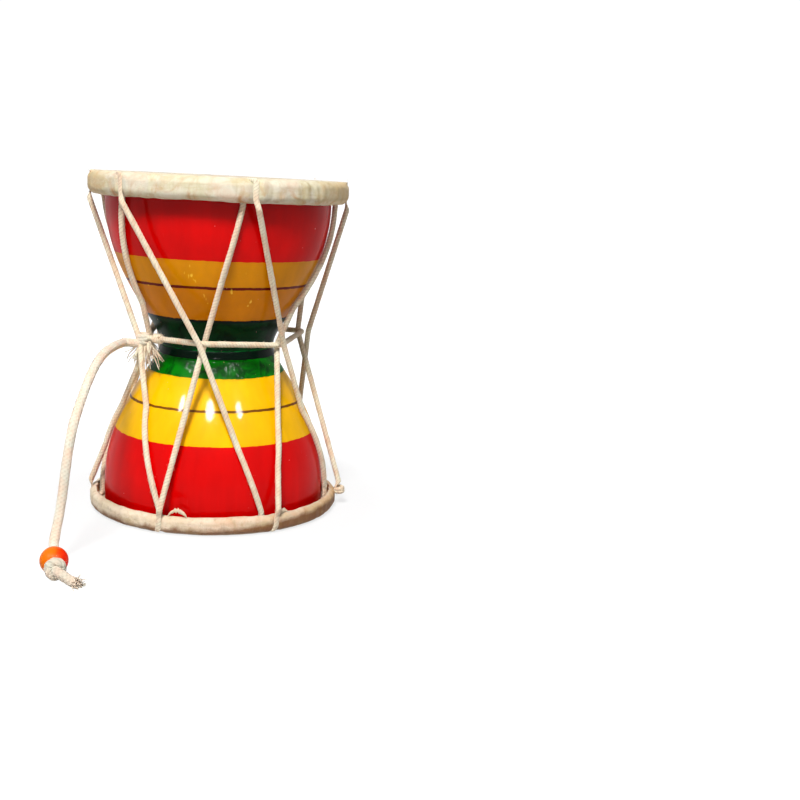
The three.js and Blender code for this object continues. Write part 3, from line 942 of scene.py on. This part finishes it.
def shell_profile():
    gap = SKIN + CLEARANCE
    low, high = gap, HEIGHT - gap
    mouth = RIM_RADIUS - RIM_WALL
    corner = RIM_RADIUS - RIM_ROUND
    profile = [(mouth, low)] + arc(corner, low + RIM_ROUND, RIM_ROUND, 270, 360, 6)
    heights = set(np.round(np.linspace(low + RIM_ROUND + 1.5, high - RIM_ROUND - 1.5, 150), 3))
    for groove in GROOVES:
        heights |= {round(groove + d, 3) for d in np.linspace(-0.9, 0.9, 13)}
    for z in sorted(heights):
        depth = sum(GROOVE_DEPTH * math.exp(-(((z - g) / GROOVE_WIDTH) ** 2)) for g in GROOVES)
        profile.append((shell_radius(z) - depth, z))
    profile += arc(corner, high - RIM_ROUND, RIM_ROUND, 0, 90, 6)
    profile.append((mouth, high))
    profile += [(cavity_radius(z), z) for z in np.linspace(high - 1.5, low + 1.5, 60)]
    return profile


shell = lathe("lacquered_shell", shell_profile(), 224)
dress(shell, LACQUER, "drum", "lacquer", "shell")


# Skins

FLAT_RADIUS = 54
LAP_RISE = 8
BITE_WIDTH = 2.2
SHOULDER_PLACE = 3.6
SHOULDER_WIDTH = 1.7
FLAP_RADIUS = 61.2
FLAP_FOOT = 7.4


def skin_profile(end):
    radius, height, roundness = end.radius, end.height, end.roundness
    profile = [(0, 0)]
    profile += [(r, 0) for r in np.linspace(4, radius - roundness - 1, 22)]
    profile += arc(radius - roundness, roundness, roundness, 270, 360, 9)
    profile += [(radius, d) for d in np.linspace(roundness, height - roundness, 5)[1:-1]]
    profile += arc(radius - roundness, height - roundness, roundness, 0, 90, 8)
    profile.append((THROAT_RADIUS, height))
    inside = roundness - SKIN
    profile.append((THROAT_RADIUS, height - SKIN))
    profile += arc(radius - roundness, height - roundness, inside, 90, 0, 5)
    profile += arc(radius - roundness, roundness, inside, 360, 270, 5)
    profile += [(r, SKIN) for r in np.linspace(radius - roundness - 1, 4, 12)]
    profile.append((0, SKIN))
    return [(r, end.z(d)) for r, d in profile]


def skin_offset(end, seed):
    """Uneven lapping: the roll waves a little, its hem is ragged, and each lacing cord bites into it."""

    def move(vertices):
        v = vertices.copy()
        azimuth = azimuth_of(v)
        radius = np.hypot(v[:, 0], v[:, 1])
        depth = (HEIGHT - v[:, 2]) if end.up else v[:, 2]
        lap = np.clip((radius - FLAT_RADIUS) / LAP_RISE, 0, 1)
        out = 0.3 * waves(azimuth, seed) + 0.16 * waves(azimuth, seed + 1, 24, 90, 0.3)
        hem = np.clip((depth - end.height * 0.55) / (end.height * 0.45), 0, 1) * lap
        down = (0.35 * waves(azimuth, seed + 2, 3, 60, 0.6)) * hem
        bite = np.zeros_like(azimuth)
        shoulder = np.zeros_like(azimuth)
        for k in range(6):
            away = (azimuth - math.radians(end.points[k]) + math.pi) % (2 * math.pi) - math.pi
            beside = away * end.radius
            bite += np.exp(-((beside / BITE_WIDTH) ** 2))
            shoulder += np.exp(-(((np.abs(beside) - SHOULDER_PLACE) / SHOULDER_WIDTH) ** 2))
        face = np.clip(1 - depth / 3, 0, 1)
        dish = 0.25 * face * np.clip(1 - radius / FLAT_RADIUS, 0, 1)
        dish *= 0.5 + 0.5 * waves(azimuth, seed + 3, 1, 5)
        pull = (0.45 * bite - 0.4 * shoulder) * lap
        shift = np.clip(out * lap - pull, -0.6, 0.6)
        scale = 1 + shift / np.maximum(radius, 1)
        v[:, 0] *= scale
        v[:, 1] *= scale
        inward = 0.3 * bite * lap * face + dish
        if end.up:
            v[:, 2] -= down + inward
        else:
            v[:, 2] += down + inward
            v[:, 2] = np.maximum(v[:, 2], 0.02)
        return v

    return move


def torn_flap(name, start, stop, rise, seed):
    """A strip of skin torn from the lower hem, which stands up in a low curl."""
    rng = np.random.default_rng(seed)
    rings = []
    for t in np.linspace(0, 1, 26):
        arch = math.sin(math.pi * t) ** 0.7
        lift = rise * arch + 0.25 * rng.normal() * arch
        width = 1.3 + 0.6 * arch
        azimuth = start + (stop - start) * t
        lean = 0.9 * arch
        corners = ((0, 0), (0.45, 0.1), (0.45 - lean, width), (-lean, width - 0.1))
        rings.append([around(azimuth, FLAP_RADIUS + a, FLAP_FOOT + lift + b) for a, b in corners])
    rings = np.array(rings)
    vertices = np.concatenate([rings.reshape(-1, 3), [rings[0].mean(0)], [rings[-1].mean(0)]])
    return make_object(name, vertices, ring_faces(len(rings), 4))


for end, seed in ((TOP, 11), (BOTTOM, 23)):
    skin = lathe(f"{end.name}_skin_lapped", skin_profile(end), 360, skin_offset(end, seed))
    if not end.up:
        flap = torn_flap("flap", start=-21, stop=-12, rise=3.2, seed=5)
        small_flap = torn_flap("flap_b", start=31, stop=36, rise=1.2, seed=6)
        skin = joined(skin.name, [skin, flap, small_flap])
    dress(skin, SKIN_LOOK, "drum", "skin", f"{end.name}_skin")


# Lacing

PRESS = 0.78
PRESS_ON_HEAD = 0.75


def pressed(points):
    """Cord drawn into the skin where it passes over the rolls: flatter there, and closer to the roll."""
    p = points.copy()
    radius = np.hypot(p[..., 0], p[..., 1])
    for end in (TOP, BOTTOM):
        depth = (HEIGHT - p[..., 2]) if end.up else p[..., 2]
        share = np.clip((end.height + 4 - depth) / 5, 0, 1)
        share = share * share * (3 - 2 * share)
        proud = np.maximum(radius - end.radius + 0.6, 0) * share
        scale = 1 - PRESS * proud / radius
        p[..., 0] *= scale
        p[..., 1] *= scale
        if end.up:
            p[..., 2] -= PRESS_ON_HEAD * np.maximum(p[..., 2] - HEIGHT + 0.3, 0)
    return p


UPRIGHT = np.array([0, 0, 1.0])

for label, start in (("a", 3), ("b", 4)):
    course, knot_place = lacing_course(start)
    points, rings, crown = rope_surface(course, CORD_LOOK_RADIUS, seed=start)
    lacing = rope_piece(f"lacing_{label}", pressed(points), pressed(rings), crown, fuzz=1.6, seed=start)
    dress(lacing, COTTON, "drum", "cotton", f"lacing_cord_{label}")
    knot = wrapped_knot(
        f"lacing_{label}_knot", knot_place, UPRIGHT,
        radius=2.9, length=4.6, turns=2, cord_radius=1.25, seed=31 + start, fuzz=3,
    )
    dress(knot, COTTON, "drum", "cotton", f"lacing_knot_{label}")

waist = rope("waist_tie", waist_course(), CORD_LOOK_RADIUS, fuzz=1.6, seed=9, soften=5)
dress(waist, COTTON, "drum", "cotton", "waist_cord")

knot = wrapped_knot(
    "waist_tie_knot", FIRST_CORNER + FIRST_EDGE * WAIST_KNOT_OFFSET, FIRST_EDGE,
    radius=2.6, length=6.4, turns=3, cord_radius=1.05, seed=41, fuzz=4, lean=0.3,
)
dress(knot, COTTON, "drum", "cotton", "waist_knot")
hanging = strand_bundle(
    "fray_hanging", FIRST_CORNER - 3 * UPRIGHT, around(crossing_azimuth(0) + 20, 0.28, -1.0),
    length=10, spread=0.42, count=60, thickness=0.36, seed=5, root_radius=2.2,
)
sideways = strand_bundle(
    "fray_sideways", FIRST_CORNER + FIRST_EDGE * 3.5 - 2.2 * UPRIGHT,
    around(crossing_azimuth(0) + 95, 1.0, -0.55),
    length=9.5, spread=0.45, count=26, thickness=0.38, seed=8, root_radius=1.2,
)
fray = joined("waist_tie_fray", [hanging, sideways])
dress(fray, COTTON, "drum", "cotton", "waist_cord_fray")


# Strikers

LINKS = ("root", "arm", "fold", "fall", "toe")
LEVEL = np.array([1, 1, 0])

# Where each cord piece ends, as a share of the way from one elbow to the next
SPLITS = (0.42, 0.45, 0.74)

BEAD_HALF = math.sqrt(BEAD_RADIUS**2 - BEAD_FACE**2)
BEAD_MOUTH = STRIKER_RADIUS + 0.35
BEAD_LIP = STRIKER_RADIUS + 0.9
TAIL_RADIUS = 2.2
TAIL_LOWEST = 2.35


def nearest(points, place):
    return int(np.argmin(np.linalg.norm(points - place, axis=1)))


def make_bead(name, middle, axis):
    edge = math.degrees(math.asin(BEAD_HALF / BEAD_RADIUS)) - 4
    profile = [(BEAD_MOUTH, -BEAD_HALF + 0.5), (BEAD_LIP, -BEAD_HALF - 0.1), (BEAD_FACE, -BEAD_HALF)]
    profile += arc(0, 0, BEAD_RADIUS, -edge, edge, 28)
    profile += [(BEAD_FACE, BEAD_HALF), (BEAD_LIP, BEAD_HALF + 0.1), (BEAD_MOUTH, BEAD_HALF - 0.5)]
    bead = lathe(name, profile, 48)
    turn = Vector((0, 0, 1)).rotation_difference(Vector(axis))
    bead.data.transform(Matrix.Translation(Vector(middle) * MM) @ turn.to_matrix().to_4x4())
    return bead


def make_end_knot(name, place, axis, seed):
    wraps = wrapped_knot(
        "wraps", place - axis * 0.8, axis,
        radius=4.6, length=END_KNOT_LENGTH * 0.9, turns=2, cord_radius=2.0, seed=seed + 1, fuzz=9,
    )
    back = wrapped_knot(
        "wraps_back", place + axis * END_KNOT_LENGTH * 0.2, axis,
        radius=4.3, length=END_KNOT_LENGTH * 0.7, turns=1, cord_radius=1.9, seed=seed + 2, fuzz=9,
        lean=0.7,
    )
    return joined(name, [wraps, back])


def make_tail(name, start, axis, way, seed):
    """The cord's end beyond its knot, which droops on to the table and frays."""
    turned = start + axis * 2.6 + way * 2.4
    core = [start, start + axis * 1.6 + way * 0.6, turned]
    core += [turned + way * 4 - 1.2 * UPRIGHT, turned + way * 8 - 2.2 * UPRIGHT]
    core = [p * LEVEL + UPRIGHT * max(p[2], TAIL_LOWEST) for p in core]
    course = catmull(core, 10)
    stub = rope("tail_core", course, TAIL_RADIUS, fuzz=9, seed=seed + 3, style="braid", sides=24)
    threads = strand_bundle(
        "tail_threads", core[-1] - way * 1.5, way,
        length=4.6, spread=0.35, count=80, thickness=0.3, seed=seed + 4, root_radius=1.9, droop=0.1,
        floor=0.1,
    )
    return joined(name, [stub, threads])


def make_tie(name, crossed, pivot, seed):
    """The striker's stub from its pivot to the waist cord, and its wraps round the crossing."""
    inward = unit((crossed - pivot) * LEVEL)
    course = [
        pivot - inward * 0.6,
        pivot + inward * 3 - 0.1 * UPRIGHT,
        pivot + inward * 6 - 0.6 * UPRIGHT,
        crossed + inward * 0.5 - 3.4 * UPRIGHT,
        crossed + inward * 2.2 - 3.8 * UPRIGHT,
    ]
    course = catmull(course, 12)
    stub = rope("tie_stub", course, STRIKER_RADIUS, fuzz=4, seed=seed + 8, style="braid", sides=28)
    wraps = wrapped_knot(
        "tie_wraps", crossed - inward * 0.8 - UPRIGHT * 2.0, UPRIGHT,
        radius=3.7, length=4.4, turns=2, cord_radius=1.2, seed=seed + 5, fuzz=6,
    )
    loop = wrapped_knot(
        "tie_loop", crossed - inward * 1.2 - UPRIGHT * 4.6, UPRIGHT,
        radius=3.4, length=4.0, turns=1, cord_radius=1.4, seed=seed + 6, fuzz=6, lean=0.5,
    )
    return joined(name, [stub, wraps, loop])


def make_striker(side, crossing, bead_look, bead_slot, seed):
    azimuth = crossing_azimuth(crossing)
    run = at_crossing(crossing, OUTER_LEAD, CAD_OUTER_SPACING)
    pivot = run + around(azimuth + TIE_TURN, TIE_REACH, -TIE_DROP)
    way = azimuth + STRIKER_TURN
    out = around(way, 1, 0)
    left = around(way - 90, 1, 0)
    marks = [
        pivot * LEVEL + out * reach + left * aside + UPRIGHT * z for reach, z, aside in STRIKER_COURSE
    ]
    tilt = math.radians(BEAD_TILT)
    axis = around(way + BEAD_TURN, math.cos(tilt), math.sin(tilt))
    middle = marks[-1]
    course = [p for p in catmull(marks, 24) if np.linalg.norm(p - middle) > BEAD_HALF + 1.5]
    course += [middle + axis * d for d in (-BEAD_HALF, -3, 0, 3, BEAD_HALF + 2)]
    points, rings, crown = rope_surface(
        course, STRIKER_RADIUS, style="braid", step=0.55, sides=28, seed=seed
    )
    at = [nearest(points, marks[e]) for e in ELBOWS]
    splits = [0] + [a + int((b - a) * share) for a, b, share in zip(at, at[1:], SPLITS)]
    splits.append(len(points) - 1)

    toe = f"{side}_toe"
    bead = make_bead(f"{side}_striker_bead", middle, axis)
    dress(bead, bead_look, toe, bead_slot, f"{side}_bead")
    knot_place = middle + axis * (BEAD_HALF + CLEARANCE)
    knot = make_end_knot(f"{side}_striker_end_knot", knot_place, axis, seed)
    dress(knot, FRAYED, toe, "striker_rope", f"{side}_end_knot")
    drop = math.radians(TAIL_DROP)
    tail_way = around(way + TAIL_TURN, math.cos(drop), -math.sin(drop))
    tail_start = knot_place + axis * (END_KNOT_LENGTH - 2.2)
    tail = make_tail(f"{side}_striker_frayed_tail", tail_start, axis, tail_way, seed)
    dress(tail, FRAYED, toe, "striker_rope", f"{side}_frayed_tail")

    for i in range(4):
        first, last = splits[i], splits[i + 1] + 1
        is_last = i == 3
        name = f"{side}_striker_cord_{i + 1}"
        piece = rope_piece(name, points, rings, crown, fuzz=2.5, seed=seed, first=first, last=last)
        replaced = [f"{side}_cord_{LINKS[i]}"] + ([f"{side}_cord_toe"] if is_last else [])
        dress(piece, ROPE, None, "striker_rope", *replaced)
        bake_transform(piece)
        path = points[first:last:4]
        if not np.allclose(path[-1], points[last - 1]):
            path = np.concatenate([path, points[last - 1][None]])

    tie = make_tie(f"{side}_striker_tie", at_crossing(crossing, 0, 0), pivot, seed)
    dress(tie, ROPE, "drum", "striker_rope", f"{side}_tie_knot")


make_striker("left", 0, ORANGE, "orange_bead", 100)
make_striker("back", 4, RED, "red_bead", 200)


# Floor and light

BACKGROUND_STRENGTH = 1.05
FLOOR_GLOW = 1.2
FLOOR_GREY = 0.52
FLOOR_REACH = 6.0
FLOOR_DROP = 0.4
LAMP_TARGET = Vector((0, -0.03, 0.07))


def make_floor():
    """A pale floor that keeps the drum's shadow, and fades into the white surroundings further out."""
    mesh = bpy.data.meshes.new("floor")
    corners = [(-1, -1), (1, -1), (1, 1), (-1, 1)]
    mesh.from_pydata([(x * FLOOR_REACH, y * FLOOR_REACH, 0) for x, y in corners], [], [(0, 1, 2, 3)])
    floor = bpy.data.objects.new("floor", mesh)
    floor.location.z = -FLOOR_DROP * MM
    scene.collection.objects.link(floor)
    n = Look("pale_floor")
    grey = (FLOOR_GREY, FLOOR_GREY, FLOOR_GREY, 1)
    n.surface(Base_Color=grey, Roughness=0.9, Specular_IOR_Level=0.05)
    x, y, _ = n.split()
    far = n.rise(n.from_axis(x, y), 75, 170, 0.62, 1.0, smooth=True)
    glow = n.put(n.add("ShaderNodeEmission"), Color=WHITE, Strength=FLOOR_GLOW)
    seen = n.add("ShaderNodeMixShader")
    n.link(n.times(far, n.background_rays()), seen.inputs[0])
    n.link(n.shader.outputs[0], seen.inputs[1])
    n.link(glow.outputs[0], seen.inputs[2])
    n.link(seen.outputs[0], n.tree.nodes["Material Output"].inputs["Surface"])
    floor.data.materials.append(n.material)


def make_world():
    """White where it is seen or mirrored. It lights the drum most from above, and a little from the
    front and the right."""
    world = bpy.data.worlds.new("studio")
    scene.world = world
    n = Nodes(world, "Generated")
    x, y, z = n.split()
    facing = n.math("ADD", n.times(x, 0.14), n.math("ADD", n.times(y, -0.18), n.times(z, 0.85)))
    fill = n.range(facing, -0.3, 0.85, 0.12, 0.42)
    whiter = n.math("SUBTRACT", BACKGROUND_STRENGTH, fill)
    strength = n.math("MULTIPLY_ADD", n.background_rays(), whiter, fill)
    n.put(n.tree.nodes["Background"], Color=WHITE, Strength=strength)


def add_lamp(name, azimuth, elevation, distance, diameter, power, in_gloss=True):
    """A disc lamp, in metres and watts. It shows only in gloss, or else lights without showing there."""
    data = bpy.data.lights.new(name, "AREA")
    data.shape = "DISK"
    data.size = diameter
    data.energy = power
    lamp = bpy.data.objects.new(name, data)
    a, e = math.radians(azimuth), math.radians(elevation)
    way = Vector((math.sin(a) * math.cos(e), -math.cos(a) * math.cos(e), math.sin(e)))
    lamp.location = LAMP_TARGET + way * distance
    lamp.rotation_mode = "QUATERNION"
    lamp.rotation_quaternion = (-way).to_track_quat("-Z", "Y")
    lamp.visible_glossy = in_gloss
    lamp.visible_diffuse = not in_gloss
    scene.collection.objects.link(lamp)


make_floor()
make_world()
add_lamp("lamp_key", -15, 54, 1.1, 0.28, 16, in_gloss=False)
add_lamp("lamp_left", -57, 41.5, 1.0, 0.115, 7.2)
add_lamp("lamp_middle", -9.4, 45.4, 1.0, 0.18, 14)
add_lamp("lamp_right", 37.3, 42.9, 1.0, 0.13, 7.2)
